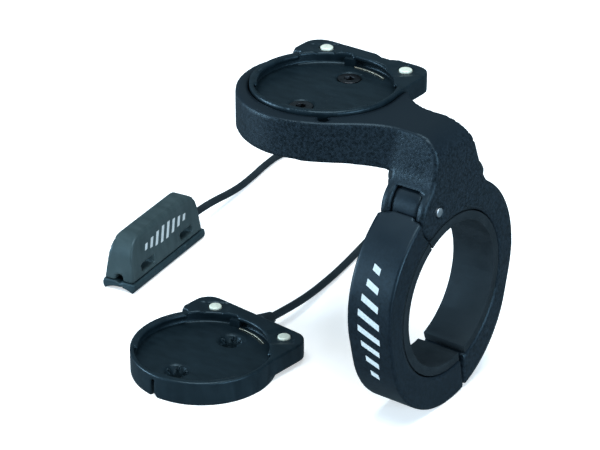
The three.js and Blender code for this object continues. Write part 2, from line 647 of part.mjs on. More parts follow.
// The flange under the housing, hollowed along its length to sit on a fork leg.
function sensorBase() {
  const [half, width] = [SENSOR.length / 2, SENSOR.width / 2];
  const outline = new THREE.Shape();
  outline.moveTo(-width, 0.6);
  outline.lineTo(-width + 0.5, 0);
  outline.quadraticCurveTo(0, 2.1, width - 0.5, 0);
  outline.lineTo(width, 0.6);
  outline.lineTo(width, FLANGE_HEIGHT - 0.5);
  outline.lineTo(width - 0.3, FLANGE_HEIGHT - GAP);
  outline.lineTo(-width + 0.3, FLANGE_HEIGHT - GAP);
  outline.lineTo(-width, FLANGE_HEIGHT - 0.5);
  outline.closePath();
  const notches = [-1, 1].flatMap((side) => [-5.2, 5.2].map((y) => {
    const inner = width - 0.25;
    return box(side > 0 ? [inner, 9] : [-9, -inner], [y - 1.6, y + 1.6], [0.9, 5]);
  }));
  return cut(prism(outline, -half, half, 'y', 8), ...notches, sensorEndHole());
}

function reedSwitch() {
  const glass = turned([[0, -6.5], [0.7, -6.3], [1, -5.6], [1, 5.6], [0.7, 6.3], [0, 6.5]],
    { axis: 'y', at: [0, 0, SWITCH_HEIGHT], segments: 14 });
  return join(glass, rod(0.25, -9.5, 9.5, { axis: 'y', at: [0, 0, SWITCH_HEIGHT], segments: 10 }));
}

function sensorGland() {
  const end = SENSOR.length / 2;
  const face = end - 0.7;
  const profile = [[0, 12.4], [1.2, 12.4], [1.2, face], [1.8, face], [1.8, end + 0.2],
    [1.25, end + 1.6], [0, end + 1.6]];
  return turned(profile, { axis: 'y', at: [0, 0, SENSOR_EXIT], segments: 20 });
}

function addSensor() {
  const group = new THREE.Group();
  group.position.set(SENSOR.x, SENSOR.y, FLOOR);
  group.rotation.z = degrees(SENSOR.turn);
  kit.add(group);
  addPiece(group, 'sensor_housing', sensorHousing(), SENSOR_PLASTIC);
  addPiece(group, 'sensor_base', sensorBase(), RUBBER);
  addPiece(group, 'sensor_board', box([-1.4, 1.4], [-10.5, 10.5], [7, 7.8]), BOARD);
  addPiece(group, 'reed_switch', reedSwitch(), GLASS);
  addPiece(group, 'sensor_gland', sensorGland(), RUBBER);
}

// ---- the cable: two free stretches, with heights above the floor, and the coil between them ----
const DOCK_STRETCH = [[-43, 2.4, 3.1], [-42.8, 6, 3], [-42.9, 10.5, 2.65], [-43.5, 16, 2.05],
  [-44.8, 24, 1.3], [-46.1, 32, 1], [-47.5, 40, 1], [-49, 47.5, 1], [-50.2, 54, 1], [-50.2, 59.2, 1],
  [-48.9, 63.2, 1.15], [-46.6, 66.7, 1.5]];

const SENSOR_STRETCH = [[-86.6, 28.7, 4.4], [-86.9, 31.2, 4.35], [-87.5, 35.5, 4], [-88.2, 40, 3.35],
  [-89.1, 45.5, 2.4], [-90.4, 52, 1.45], [-91.9, 59, 1], [-93.2, 66, 1], [-93.7, 73, 1], [-91.8, 80, 1],
  [-87, 85.4, 1], [-80, 89.6, 1.1], [-72, 90.9, 2.4], [-64, 90.2, 5.1], [-57.3, 89.6, 7.06]];

function freeCable(points) {
  const corners = points.map(([x, y, z]) => new THREE.Vector3(x, y, FLOOR + z));
  const path = new THREE.CatmullRomCurve3(corners);
  const steps = Math.round(path.getLength() / (2.6 * 2 * CABLE_RADIUS));
  const settings = { steps, bevelEnabled: false, extrudePath: path };
  return solid(new THREE.ExtrudeGeometry(polygon(CABLE_RADIUS, 8), settings));
}

function coilTie() {
  const [low, high] = [COIL.inner - GAP, COIL.outer + GAP];
  const thickness = 0.35;
  const outer = box([low - thickness, high + thickness], [-0.9, 0.9], [0, COIL.high + GAP + thickness]);
  return cut(outer, box([low, high], [-2, 2], [thickness, COIL.high + GAP]));
}

function addCable() {
  addPiece(kit, 'cable_from_dock', freeCable(DOCK_STRETCH), CABLE_PLASTIC);
  addPiece(kit, 'cable_to_sensor', freeCable(SENSOR_STRETCH), CABLE_PLASTIC);
  const group = new THREE.Group();
  group.position.set(COIL.x, COIL.y, FLOOR);
  kit.add(group);
  const { inner, outer, low, high } = COIL;
  addPiece(group, 'cable_coil', tube(inner, outer, low, high, { segments: 32 }), CABLE_PLASTIC);
  addPiece(group, 'coil_tie', coilTie(), RUBBER);
}

addMount();
addArmCradle();
addWiredCradle();
addSensor();
addCable();

// The origin is under the middle of the kit, leaving out the free cable and its tie.
const CABLE_PIECES = ['cable_from_dock', 'cable_to_sensor', 'cable_coil', 'coil_tie'];

function centreOnBase() {
  kit.updateMatrixWorld(true);
  const bounds = new THREE.Box3();
  kit.traverse((piece) => {
    if (piece.isMesh && !CABLE_PIECES.includes(piece.name)) bounds.expandByObject(piece, true);
  });
  const middle = bounds.getCenter(new THREE.Vector3());
  kit.position.set(-middle.x, -middle.y, -bounds.min.z);
  kit.updateMatrixWorld(true);
}

centreOnBase();

export default kit;
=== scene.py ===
"""Looks of a bicycle computer's mounting kit: a hinged clamp whose arm carries a docking cradle, and the
wired set that goes with it, a second cradle and a wheel sensor on one cable.

Sizes are in millimetres, as in the CAD source, and MM turns them into metres. Places on the clamp, the
cable and the loose pieces are given from the middle of the handlebar, as they are there."""
import json
import math

import bmesh
import bpy
import numpy as np
from mathutils import Matrix, Vector

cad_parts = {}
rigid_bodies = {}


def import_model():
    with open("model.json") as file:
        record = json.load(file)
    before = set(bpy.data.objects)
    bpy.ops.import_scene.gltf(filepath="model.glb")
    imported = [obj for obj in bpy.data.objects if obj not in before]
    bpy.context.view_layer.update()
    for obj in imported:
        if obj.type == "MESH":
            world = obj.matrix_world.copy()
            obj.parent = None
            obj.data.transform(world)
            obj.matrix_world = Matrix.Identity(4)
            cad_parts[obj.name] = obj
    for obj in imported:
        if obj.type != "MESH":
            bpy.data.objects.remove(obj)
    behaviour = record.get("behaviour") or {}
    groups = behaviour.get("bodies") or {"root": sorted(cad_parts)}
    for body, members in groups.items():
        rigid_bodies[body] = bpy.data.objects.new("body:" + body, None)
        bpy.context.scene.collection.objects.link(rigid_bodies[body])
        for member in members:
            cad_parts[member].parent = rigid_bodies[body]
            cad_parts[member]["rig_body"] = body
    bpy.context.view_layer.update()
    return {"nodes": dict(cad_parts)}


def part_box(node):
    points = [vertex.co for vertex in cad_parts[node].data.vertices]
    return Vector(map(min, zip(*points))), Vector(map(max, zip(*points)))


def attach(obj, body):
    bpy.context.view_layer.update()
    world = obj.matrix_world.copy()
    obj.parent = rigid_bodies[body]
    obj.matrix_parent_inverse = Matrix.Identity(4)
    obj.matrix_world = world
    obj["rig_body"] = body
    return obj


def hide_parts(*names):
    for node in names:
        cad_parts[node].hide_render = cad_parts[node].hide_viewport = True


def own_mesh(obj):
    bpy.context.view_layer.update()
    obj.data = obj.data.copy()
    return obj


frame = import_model()
NODES = frame["nodes"]
MM = 0.001

# ---- places ----
HINGE = Vector((0, -5.8, 21.2))     # the hinge pin, from the middle of the handlebar
SHELL_RADIUS = 15.9
SHELL_HEIGHT = 5.4
POCKET_FLOOR = 2.9
DOCK = {"x": -45, "y": -20, "turn": -5}
SENSOR = {"x": -84.1, "y": 11, "turn": 8}


def middle_of(node):
    low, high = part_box(node)
    return (low + high) / 2


BAR = middle_of("hinge_pin") - HINGE * MM


def from_bar(x, y, height):
    """A point at x and y from the handlebar's middle, and at a height above the floor."""
    return Vector((BAR.x + x * MM, BAR.y + y * MM, height * MM))


# ---- camera ----
def add_camera():
    azimuth, elevation = math.radians(36.37), math.radians(27.41)
    aim = from_bar(-25.49, -11.46, 37.05)
    distance = 505.3 * MM
    right = Vector((math.cos(azimuth), math.sin(azimuth), 0))
    level = Vector((-math.sin(azimuth), math.cos(azimuth), 0))
    forward = level * math.cos(elevation) - Vector((0, 0, math.sin(elevation)))
    turn = Matrix((right, right.cross(forward), -forward)).transposed()
    camera = bpy.data.objects.new("camera", bpy.data.cameras.new("camera"))
    bpy.context.scene.collection.objects.link(camera)
    camera.matrix_world = Matrix.Translation(aim - forward * distance) @ turn.to_4x4()
    camera.data.lens = 146.06
    camera.data.sensor_width = 36
    camera.data.clip_start = 0.01
    bpy.context.scene.camera = camera


add_camera()

# ---- the cable's route ----
CABLE_DIAMETER = 1.8
DOCK_STRETCH = [
    (-43.17, -0.6, 3.1), (-43, 2.4, 3.1), (-42.8, 6, 3), (-42.9, 10.5, 2.65), (-43.5, 16, 2.05),
    (-44.8, 24, 1.3), (-46.1, 32, 1), (-47.5, 40, 1), (-49, 47.5, 1), (-50.2, 54, 1), (-50.2, 59.2, 1),
    (-48.9, 63.2, 1.15), (-46.6, 66.7, 1.5),
]
SENSOR_STRETCH = [
    (-57.3, 89.6, 7.06), (-64, 90.2, 5.1), (-72, 90.9, 2.4), (-80, 89.6, 1.1), (-87, 85.4, 1),
    (-91.8, 80, 1), (-93.7, 73, 1), (-93.2, 66, 1), (-91.9, 59, 1), (-90.4, 52, 1.45), (-89.1, 45.5, 2.4),
    (-88.2, 40, 3.35), (-87.5, 35.5, 4), (-86.9, 31.2, 4.35), (-86.6, 28.7, 4.4), (-86.2, 25.9, 4.4),
]
COIL = {"x": -50.6, "y": 78.8, "inner": 7.2, "outer": 10.8, "bottom": 1.6, "top": 7.06}
COIL_ENTRY, COIL_SWEEP = -40, 10 * 360 + 130    # degrees
FIRST_SHIFT = 0.85                  # turns before the cable first shifts to the next ring
SHIFT_LENGTH = 0.12                 # of a turn, to shift from one ring of the coil to the next
COIL_LAYERS = 4
POINTS_PER_TURN = 24


def coil_rings():
    """The coil's rings in the order that the cable fills them: inwards, up, outwards, up and so on."""
    radii = [COIL["outer"], (COIL["outer"] + COIL["inner"]) / 2, COIL["inner"]]
    rings = []
    for level in range(COIL_LAYERS):
        height = COIL["bottom"] + (COIL["top"] - COIL["bottom"]) * level / (COIL_LAYERS - 1)
        ordered = radii if level % 2 == 0 else radii[::-1]
        rings += [(radius, height) for radius in ordered]
    return rings


def coil_route():
    """Each shift to the next ring comes a little earlier in its turn, so that no two turns meet."""
    rings = coil_rings()
    turns = COIL_SWEEP / 360
    count = round(turns * POINTS_PER_TURN)
    points = []
    for k in range(1, count):
        turn = turns * k / count
        shifts = max(0, (turn - FIRST_SHIFT) / (1 - SHIFT_LENGTH))
        ring = min(int(shifts), len(rings) - 2)
        share = min(1, (shifts - ring) * (1 - SHIFT_LENGTH) / SHIFT_LENGTH)
        share = share * share * (3 - 2 * share)
        (radius, height), (next_radius, next_height) = rings[ring], rings[ring + 1]
        radius += (next_radius - radius) * share
        height += (next_height - height) * share
        angle = math.radians(COIL_ENTRY + 360 * turn)
        x, y = COIL["x"] + radius * math.cos(angle), COIL["y"] + radius * math.sin(angle)
        points.append((x, y, height))
    return points


def add_cable():
    route = [from_bar(*point) for point in DOCK_STRETCH + coil_route() + SENSOR_STRETCH]
    curve = bpy.data.curves.new("cable", "CURVE")
    curve.dimensions = "3D"
    curve.bevel_depth = 1
    curve.bevel_resolution = 5
    curve.resolution_u = 5
    curve.use_fill_caps = True
    spline = curve.splines.new("BEZIER")
    spline.bezier_points.add(len(route) - 1)
    for bezier_point, place in zip(spline.bezier_points, route):
        bezier_point.co = place
        bezier_point.radius = CABLE_DIAMETER / 2 * MM
        bezier_point.handle_left_type = "AUTO"
        bezier_point.handle_right_type = "AUTO"
    cable = bpy.data.objects.new("cable", curve)
    bpy.context.scene.collection.objects.link(cable)
    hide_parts("cable_from_dock", "cable_coil", "cable_to_sensor")
    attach(cable, "wired_set")
    return cable


# ---- floor and lights ----
def add_floor(material):
    """It is kept out of glossy reflections, so the dark plastic doesn't mirror it."""
    half = 4
    mesh = bpy.data.meshes.new("floor")
    corners = [(-half, -half, 0), (half, -half, 0), (half, half, 0), (-half, half, 0)]
    mesh.from_pydata(corners, [], [(0, 1, 2, 3)])
    floor = bpy.data.objects.new("floor", mesh)
    bpy.context.scene.collection.objects.link(floor)
    floor.location.z = -0.02 * MM
    mesh.materials.append(material)
    floor.visible_glossy = False


LIGHT_AIM = Vector((0, 0, 0.03))


def add_softbox(name, place, size, power, colour):
    light = bpy.data.lights.new(name, "AREA")
    light.shape = "RECTANGLE"
    light.size, light.size_y = size
    light.energy = power
    light.color = colour
    lamp = bpy.data.objects.new(name, light)
    bpy.context.scene.collection.objects.link(lamp)
    lamp.location = place
    lamp.rotation_euler = (LIGHT_AIM - lamp.location).to_track_quat("-Z", "Y").to_euler()
    lamp.visible_camera = False


def add_lights():
    """Their names are as seen from the camera."""
    cool, plain = (0.6, 0.82, 1.0), (0.86, 0.95, 1.0)
    add_softbox("front_left", (-0.66, -0.5, 0.14), (0.3, 0.3), 9, cool)
    add_softbox("overhead", (0.1, -0.2, 1.2), (0.8, 0.8), 18, plain)
    add_softbox("right", (0.8, -0.2, 0.2), (0.4, 0.3), 6, cool)
    world = bpy.data.worlds.new("studio")
    bpy.context.scene.world = world
    world.use_nodes = True
    background = world.node_tree.nodes["Background"]
    background.inputs["Color"].default_value = (0.55, 0.83, 1.0, 1)
    background.inputs["Strength"].default_value = 0.24
    bpy.context.scene.view_settings.view_transform = "Standard"


# ---- material helpers ----
class Shader:
    """A material with one Principled shader, and short ways to add the nodes that feed it."""

    def __init__(self, name, roughness, metallic=0.0, ior_level=0.5):
        self.material = bpy.data.materials.new(name)
        self.material.use_nodes = True
        self.nodes = self.material.node_tree.nodes
        self.links = self.material.node_tree.links
        self.principled = self.nodes["Principled BSDF"]
        self.set("Roughness", roughness)
        self.set("Metallic", metallic)
        self.set("Specular IOR Level", ior_level)
        if not metallic:
            self.set("Specular Tint", (0.6, 0.85, 1.0, 1))
        self.place = self.nodes.new("ShaderNodeTexCoord").outputs["Object"]

    def set(self, socket, value):
        self.principled.inputs[socket].default_value = value

    def feed(self, socket, output):
        self.links.new(output, self.principled.inputs[socket])

    def stretched(self, scale):
        """The object's coordinates, scaled differently along each axis."""
        mapping = self.nodes.new("ShaderNodeMapping")
        mapping.inputs["Scale"].default_value = scale
        self.links.new(self.place, mapping.inputs["Vector"])
        return mapping.outputs["Vector"]

    def noise(self, grains_per_mm, detail=3.0, roughness=0.55, place=None):
        node = self.nodes.new("ShaderNodeTexNoise")
        node.inputs["Scale"].default_value = grains_per_mm / MM
        node.inputs["Detail"].default_value = detail
        node.inputs["Roughness"].default_value = roughness
        self.links.new(place or self.place, node.inputs["Vector"])
        return node.outputs["Fac"]

    def cells(self, cells_per_mm):
        node = self.nodes.new("ShaderNodeTexVoronoi")
        node.feature = "SMOOTH_F1"
        node.inputs["Scale"].default_value = cells_per_mm / MM
        self.links.new(self.place, node.inputs["Vector"])
        return node.outputs["Distance"]

    def ramp(self, factor, stops):
        """A colour ramp from (position, colour) stops."""
        node = self.nodes.new("ShaderNodeValToRGB")
        elements = node.color_ramp.elements
        while len(elements) < len(stops):
            elements.new(0.5)
        for element, (position, colour) in zip(elements, stops):
            element.position = position
            element.color = (*colour, 1)
        self.links.new(factor, node.inputs["Fac"])
        return node.outputs["Color"]

    def spread(self, factor, low, high, start=0.3, end=0.7):
        """The factor's range from start to end, stretched to run from low to high."""
        node = self.nodes.new("ShaderNodeMapRange")
        values = (("From Min", start), ("From Max", end), ("To Min", low), ("To Max", high))
        for socket, value in values:
            node.inputs[socket].default_value = value
        self.links.new(factor, node.inputs["Value"])
        return node.outputs["Result"]

    def sides(self):
        """From 0 on faces that look straight up or down to 1 on upright sides."""
        split = self.nodes.new("ShaderNodeSeparateXYZ")
        self.links.new(self.nodes.new("ShaderNodeTexCoord").outputs["Normal"], split.inputs["Vector"])
        square = self.nodes.new("ShaderNodeMath")
        square.operation = "POWER"
        self.links.new(split.outputs["Z"], square.inputs[0])
        square.inputs[1].default_value = 2
        return self.spread(square.outputs["Value"], 1, 0, 0.1, 0.6)

    def times(self, first, second):
        node = self.nodes.new("ShaderNodeMath")
        node.operation = "MULTIPLY"
        self.links.new(first, node.inputs[0])
        self.links.new(second, node.inputs[1])
        return node.outputs["Value"]

    def bump(self, *layers):
        """Layers are (height, depth in millimetres), from the broadest to the finest."""
        normal = None
        for height, depth in layers:
            node = self.nodes.new("ShaderNodeBump")
            node.inputs["Distance"].default_value = depth * MM
            node.inputs["Strength"].default_value = 1
            self.links.new(height, node.inputs["Height"])
            if normal is not None:
                self.links.new(normal, node.inputs["Normal"])
            normal = node.outputs["Normal"]
        self.feed("Normal", normal)


def grained_plastic(name, dark, light, roughness, grain):
    """Moulded plastic. Its upright sides have a coarse spark-eroded grain, its top a fine one."""
    shader = Shader(name, roughness, ior_level=0.3)
    speckles = shader.spread(shader.noise(1.7, detail=3.0, roughness=0.75), -1, 1, 0.35, 0.65)
    mottling = shader.noise(0.12, detail=2.0)
    coarse = shader.times(speckles, shader.sides())
    tone = shader.spread(coarse, 0, 1, -1, 1)
    shader.feed("Base Color", shader.ramp(tone, [(0.1, dark), (0.9, light)]))
    shader.feed("Roughness", shader.spread(mottling, roughness - 0.07, roughness + 0.08))
    shader.bump((mottling, 0.02), (coarse, grain), (shader.noise(9, detail=2.0), 0.004))
    return shader.material


def satin_plastic(name, dark, light, roughness, grain=0.003):
    """Smoother moulded plastic, with flow marks and a very fine grain."""
    shader = Shader(name, roughness, ior_level=0.3)
    flow = shader.noise(0.22, detail=3.0, place=shader.stretched((1, 2.4, 0.6)))
    fine = shader.noise(7, detail=3.0, roughness=0.6)
    shader.feed("Base Color", shader.ramp(flow, [(0.3, dark), (0.75, light)]))
    shader.feed("Roughness", shader.spread(fine, roughness - 0.05, roughness + 0.06))
    shader.bump((flow, 0.015), (fine, grain))
    return shader.material


def rubber(name, dark, light, roughness=0.72):
    """Matt rubber with fine pits and a dusty bloom."""
    shader = Shader(name, roughness, ior_level=0.4)
    bloom = shader.noise(0.35, detail=5.0, roughness=0.65)
    pits = shader.cells(5)
    shader.feed("Base Color", shader.ramp(bloom, [(0.3, dark), (0.8, light)]))
    shader.feed("Roughness", shader.spread(bloom, roughness - 0.08, roughness + 0.1))
    shader.bump((bloom, 0.01), (pits, 0.012))
    return shader.material


def cable_jacket():
    """Extruded jacket: fine lines along the cable and a soft gloss."""
    shader = Shader("cable_jacket", 0.42)
    handling = shader.noise(0.3, detail=4.0)
    fine = shader.noise(6, detail=2.0)
    dark, light = (0.006, 0.008, 0.01), (0.014, 0.018, 0.021)
    shader.feed("Base Color", shader.ramp(handling, [(0.3, dark), (0.8, light)]))
    shader.feed("Roughness", shader.spread(handling, 0.44, 0.62))
    shader.bump((handling, 0.008), (fine, 0.004))
    return shader.material


def metal(name, dark, light, roughness, lines=(1, 1, 1), scratches=0.0015):
    """Metal with turning or rolling lines along one axis, and a little tarnish."""
    shader = Shader(name, roughness, metallic=1.0)
    tarnish = shader.noise(0.8, detail=5.0, roughness=0.65)
    grooves = shader.noise(5, detail=2.0, place=shader.stretched(lines))
    shader.feed("Base Color", shader.ramp(tarnish, [(0.3, dark), (0.7, light)]))
    shader.feed("Roughness", shader.spread(grooves, roughness - 0.08, roughness + 0.1))
    shader.bump((grooves, scratches))
    return shader.material


def contact_metal():
    """Plated contact faces: pale, nearly matt and a little worn."""
    shader = Shader("contact_metal", 0.45, metallic=0.2)
    wear = shader.noise(1.6, detail=4.0)
    shader.feed("Base Color", shader.ramp(wear, [(0.3, (0.66, 0.68, 0.57)), (0.72, (0.8, 0.83, 0.71))]))
    shader.feed("Roughness", shader.spread(wear, 0.38, 0.55))
    shader.bump((wear, 0.006))
    return shader.material


def printed_ink():
    """Pad-printed light grey ink, slightly uneven."""
    shader = Shader("printed_ink", 0.5)
    cover = shader.noise(2.2, detail=4.0, roughness=0.7)
    shader.feed("Base Color", shader.ramp(cover, [(0.25, (0.34, 0.38, 0.39)), (0.6, (0.46, 0.5, 0.51))]))
    shader.feed("Roughness", shader.spread(cover, 0.42, 0.6))
    shader.bump((cover, 0.003))
    return shader.material


def circuit_board():
    shader = Shader("circuit_board", 0.45)
    weave = shader.noise(3, detail=2.0, place=shader.stretched((1, 6, 1)))
    shader.feed("Base Color", shader.ramp(weave, [(0.3, (0.01, 0.09, 0.04)), (0.7, (0.02, 0.16, 0.07))]))
    shader.bump((weave, 0.01))
    return shader.material


def switch_glass():
    shader = Shader("switch_glass", 0.08)
    tint = shader.noise(0.8, detail=2.0)
    shader.feed("Base Color", shader.ramp(tint, [(0.3, (0.3, 0.55, 0.42)), (0.7, (0.4, 0.66, 0.52))]))
    shader.set("Transmission Weight", 0.85)
    shader.set("IOR", 1.5)
    return shader.material


def floor_paper():
    """Pale paper, lit through from behind as a light table's is."""
    shader = Shader("floor_paper", 0.8, ior_level=0.2)
    fibre = shader.noise(0.8, detail=4.0)
    shader.feed("Base Color", shader.ramp(fibre, [(0.3, (0.9, 0.9, 0.9)), (0.7, (0.93, 0.93, 0.93))]))
    shader.bump((fibre, 0.01))
    shader.set("Emission Color", (1, 1, 1, 1))
    shader.set("Emission Strength", 0.5)
    return shader.material


ARM_PLASTIC = grained_plastic("arm_plastic", (0.0015, 0.003, 0.0045), (0.009, 0.015, 0.022), 0.42, 0.012)
JAW_PLASTIC = grained_plastic("jaw_plastic", (0.0025, 0.0045, 0.007), (0.006, 0.011, 0.017), 0.4, 0.003)
CRADLE_PLASTIC = satin_plastic("cradle_plastic", (0.003, 0.007, 0.01), (0.007, 0.014, 0.019), 0.38)
# Painted light: the sensor's black plastic is painted several times lighter than the cradles', standing
# in for the light that falls on the sensor's sides.
SENSOR_PLASTIC_PAINTED_LIGHTER = satin_plastic("sensor_plastic", (0.024, 0.038, 0.041), (0.04, 0.06, 0.064), 0.34)
LINER_RUBBER = rubber("liner_rubber", (0.004, 0.005, 0.006), (0.01, 0.012, 0.014))
GLAND_RUBBER = rubber("gland_rubber", (0.006, 0.008, 0.01), (0.014, 0.018, 0.021), 0.55)
BASE_RUBBER = rubber("base_rubber", (0.01, 0.021, 0.026), (0.022, 0.042, 0.05), 0.5)
JACKET = cable_jacket()
PIN_STEEL = metal("pin_steel", (0.45, 0.47, 0.5), (0.7, 0.72, 0.74), 0.42, (1, 9, 9))
SPRING_STEEL = metal("spring_steel", (0.55, 0.56, 0.58), (0.8, 0.8, 0.82), 0.3, (2, 2, 9))
WIRE_STEEL = metal("wire_steel", (0.3, 0.28, 0.22), (0.5, 0.47, 0.38), 0.45, (4, 4, 4))
BLACK_STEEL = metal("black_steel", (0.03, 0.032, 0.036), (0.08, 0.083, 0.09), 0.36, (6, 6, 1))
BRASS = metal("brass", (0.5, 0.36, 0.13), (0.8, 0.62, 0.28), 0.3, (6, 2, 2))
CONTACT = contact_metal()
INK = printed_ink()
BOARD = circuit_board()
GLASS = switch_glass()


# ---- shape helpers ----
def applied(piece):
    """The piece with its modifiers made part of its mesh."""
    graph = bpy.context.evaluated_depsgraph_get()
    mesh = bpy.data.meshes.new_from_object(piece.evaluated_get(graph))
    old = piece.data
    piece.modifiers.clear()
    piece.data = mesh
    bpy.data.meshes.remove(old)


def coordinates(mesh):
    points = np.empty(len(mesh.vertices) * 3)
    mesh.vertices.foreach_get("co", points)
    return points.reshape(-1, 3)


def painted(piece, material):
    piece.data.materials.clear()
    piece.data.materials.append(material)


def steady_normals(piece):
    """Smooth shading in which large flat faces keep their own direction."""
    piece.data.polygons.foreach_set("use_smooth", [True] * len(piece.data.polygons))
    weighted = piece.modifiers.new("steady_normals", "WEIGHTED_NORMAL")
    weighted.weight = 60
    weighted.keep_sharp = True


def smooth_facets(mesh, rounds):
    """Evens out the CAD solid's facets. Points are drawn to those neighbours whose surface faces nearly
    the same way, so edges stay as they are."""
    points = coordinates(mesh)
    count = len(points)
    ends = np.empty(len(mesh.edges) * 2, np.int32)
    mesh.edges.foreach_get("vertices", ends)
    first, second = ends.reshape(-1, 2).T
    normals = np.empty(count * 3)
    mesh.vertices.foreach_get("normal", normals)
    normals = normals.reshape(-1, 3)
    bend = 1 - np.sum(normals[first] * normals[second], axis=1)
    pull = np.exp(-bend / (1 - math.cos(math.radians(7))))
    total = np.maximum(np.bincount(first, pull, count) + np.bincount(second, pull, count), 1e-9)
    for _ in range(rounds):
        step = pull[:, None] * (points[second] - points[first])
        for axis in range(3):
            shift = np.bincount(first, step[:, axis], count) - np.bincount(second, step[:, axis], count)
            points[:, axis] += 0.5 * shift / total
    mesh.vertices.foreach_set("co", points.ravel())


def finer(name, node, material, voxel, rounds, faces, carve=None):
    """A finer copy of a CAD node whose edges are rounded as a moulding's are. It is worked on in
    millimetres. voxel is the size of its first quads, rounds how often they are smoothed, faces how
    many triangles are left, and carve moves its points."""
    mesh = bpy.data.meshes.new(name)
    source = bmesh.new()
    source.from_mesh(NODES[node].data)
    bmesh.ops.remove_doubles(source, verts=source.verts, dist=0.0002 * MM)
    source.to_mesh(mesh)
    source.free()
    mesh.transform(Matrix.Scale(1 / MM, 4))
    piece = bpy.data.objects.new(name, mesh)
    bpy.context.scene.collection.objects.link(piece)
    remesh = piece.modifiers.new("quads", "REMESH")
    remesh.mode = "VOXEL"
    remesh.voxel_size = voxel * 1
    smooth = piece.modifiers.new("rounding", "SMOOTH")
    smooth.factor = 0.5
    smooth.iterations = rounds
    applied(piece)
    smooth_facets(piece.data, 60)
    if carve:
        points = carve(coordinates(piece.data))
        piece.data.vertices.foreach_set("co", points.ravel())
    quads = len(piece.data.polygons)
    thin = piece.modifiers.new("thinning", "DECIMATE")
    thin.ratio = min(1, faces / (2 * quads))
    applied(piece)
    piece.data.transform(Matrix.Scale(MM, 4))
    piece.data.update()
    steady_normals(piece)
    painted(piece, material)
    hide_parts(node)
    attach(piece, NODES[node]["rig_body"])
    return piece


def kept(node, material, width=0.12, angle=32):
    """A CAD node that stays, with its edges bevelled by a modifier."""
    piece = NODES[node]
    piece.data.materials.clear()
    piece.data.materials.append(material)
    piece.data.polygons.foreach_set("use_smooth", [True] * len(piece.data.polygons))
    weld = piece.modifiers.new("weld", "WELD")
    weld.merge_threshold = 0.0005 * MM
    bevel = piece.modifiers.new("edges", "BEVEL")
    bevel.width = width * MM
    bevel.segments = 2
    bevel.limit_method = "ANGLE"
    bevel.angle_limit = math.radians(angle)
    bevel.harden_normals = True
    return piece


# ---- mouldings ----
def cradle_frame(prefix):
    """The cradle's own origin, in millimetres, and its turn about Z in radians."""
    if prefix == "cradle":
        low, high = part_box("cradle_shell")
        return np.array(((low.x + high.x) / 2, low.y + SHELL_RADIUS * MM, low.z)) / MM, 0.0
    place = from_bar(DOCK["x"], DOCK["y"], 0) / MM
    return np.array(place), math.radians(DOCK["turn"])


def smooth_step(values, start, end):
    share = np.clip((values - start) / (end - start), 0, 1)
    return share * share * (3 - 2 * share)


def contact_tracks(prefix):
    """The shallow tracks round the pocket in which the head's contacts slide over the pins. Each has
    a ramp at both ends."""
    origin, turn = cradle_frame(prefix)
    depth, half_angle, ramp = 0.3, 7.0, 6.0
    inner, outer = 14.0, 19.3
    pin_angles = (54.94, 125.06)

    def carve(points):
        local = points - origin
        angles = np.degrees(np.arctan2(local[:, 1], local[:, 0]) - turn)
        radii = np.hypot(local[:, 0], local[:, 1])
        cap = np.full(len(points), SHELL_HEIGHT)
        for pin_angle in pin_angles:
            away = np.abs(angles - pin_angle)
            inside = 1 - smooth_step(away, half_angle, half_angle + ramp)
            inside *= smooth_step(radii, inner, inner + 0.3)
            inside *= 1 - smooth_step(radii, outer, outer + 0.4)
            cap -= depth * inside
        local[:, 2] = np.minimum(local[:, 2], cap)
        return local + origin

    return carve


def add_mouldings():
    """Voxel in millimetres, rounds of smoothing and triangles for each."""
    finer("arm_moulding", "mount_arm", ARM_PLASTIC, 0.2, 4, 150_000)
    finer("jaw_moulding", "clamp_jaw", JAW_PLASTIC, 0.16, 4, 90_000)
    for prefix in ("cradle", "dock"):
        finer(f"{prefix}_moulding", f"{prefix}_shell", CRADLE_PLASTIC, 0.14, 2,
              120_000, contact_tracks(prefix))
    # The sensor's moulding gets the plastic painted lighter, as painted light on its sides.
    finer("sensor_moulding", "sensor_housing", SENSOR_PLASTIC_PAINTED_LIGHTER, 0.13, 4, 60_000)
    finer("sensor_foot", "sensor_base", BASE_RUBBER, 0.1, 2, 40_000)


# ---- printed marks ----
def slab(name, bottom, top, material, slot, body):
    """A closed thin slab between two grids of points with the same rows and columns."""
    rows, columns = len(bottom), len(bottom[0])
    points = [p for grid in (bottom, top) for row in grid for p in row]
    layer = rows * columns

    def at(level, row, column):
        return level * layer + row * columns + column

    faces = []
    for row in range(rows - 1):
        for column in range(columns - 1):
            quad = [(row, column), (row, column + 1), (row + 1, column + 1), (row + 1, column)]
            faces.append([at(1, *corner) for corner in quad])
            faces.append([at(0, *corner) for corner in reversed(quad)])
    rim = [(0, c) for c in range(columns)] + [(r, columns - 1) for r in range(1, rows)]
    rim += [(rows - 1, c) for c in range(columns - 2, -1, -1)] + [(r, 0) for r in range(rows - 2, 0, -1)]
    for here, following in zip(rim, rim[1:] + rim[:1]):
        faces.append([at(0, *here), at(0, *following), at(1, *following), at(1, *here)])
    mesh = bpy.data.meshes.new(name)
    mesh.from_pydata([tuple(p) for p in points], [], faces)
    piece = bpy.data.objects.new(name, mesh)
    bpy.context.scene.collection.objects.link(piece)
    fine = bmesh.new()
    fine.from_mesh(mesh)
    bmesh.ops.recalc_face_normals(fine, faces=fine.faces)
    fine.to_mesh(mesh)
    fine.free()
    painted(piece, material)
    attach(piece, body)
    return piece


